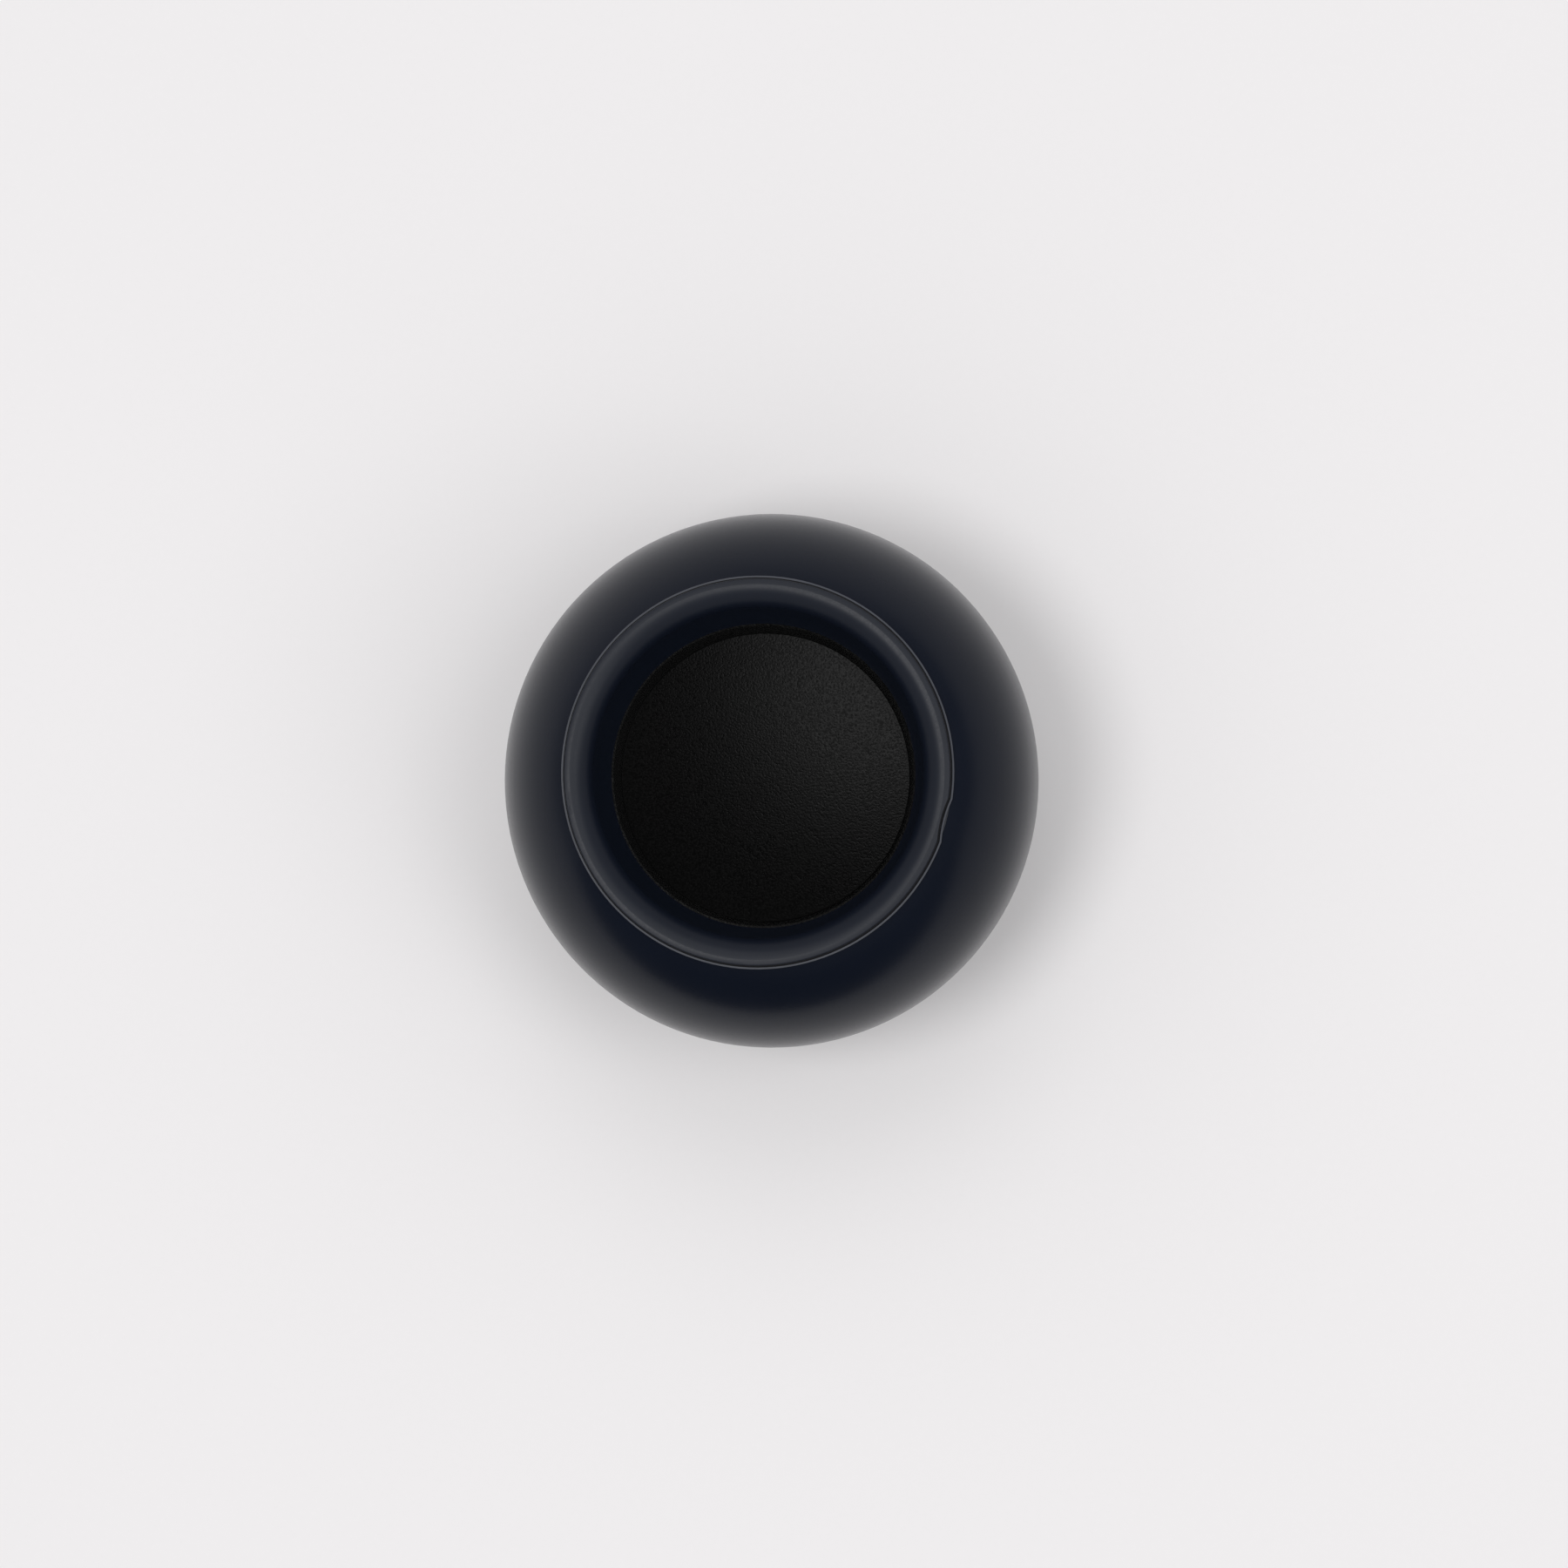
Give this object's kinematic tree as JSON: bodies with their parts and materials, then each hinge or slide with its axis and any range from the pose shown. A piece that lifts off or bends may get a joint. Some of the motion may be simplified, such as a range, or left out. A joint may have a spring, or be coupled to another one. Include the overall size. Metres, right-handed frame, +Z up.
{
  "type": "empty candle jar",
  "caption": "Globe-shaped satin navy candle jar with a wide rolled lip and a shallow black inner cup, standing on a rubber ring.",
  "frame": {"origin": "middle of the rubber ring's underside, on the surface that the jar stands on", "axes": "+Z up along the jar's axis; +X to the side where the lip's edge has its nick, 14.5 degrees towards -Y"},
  "size_m": [0.1, 0.1, 0.0797],
  "materials": {
    "navy_shell": "satin soft-touch lacquer, navy",
    "navy_collar": "satin soft-touch lacquer, navy, rubbed lighter along its fine edge",
    "black_cup": "black moulding, smooth wall and grained floor",
    "silicone_seal": "plain black silicone",
    "black_plate": "black moulding, fine grain",
    "rubber_foot": "matt black rubber"
  },
  "bodies": {
    "root": {"outer_shell": "navy_shell", "lip_collar": "navy_collar", "inner_cup": "black_cup", "seal_ring": "silicone_seal", "base_plate": "black_plate", "foot_ring": "rubber_foot"}
  },
  "joints": []
}
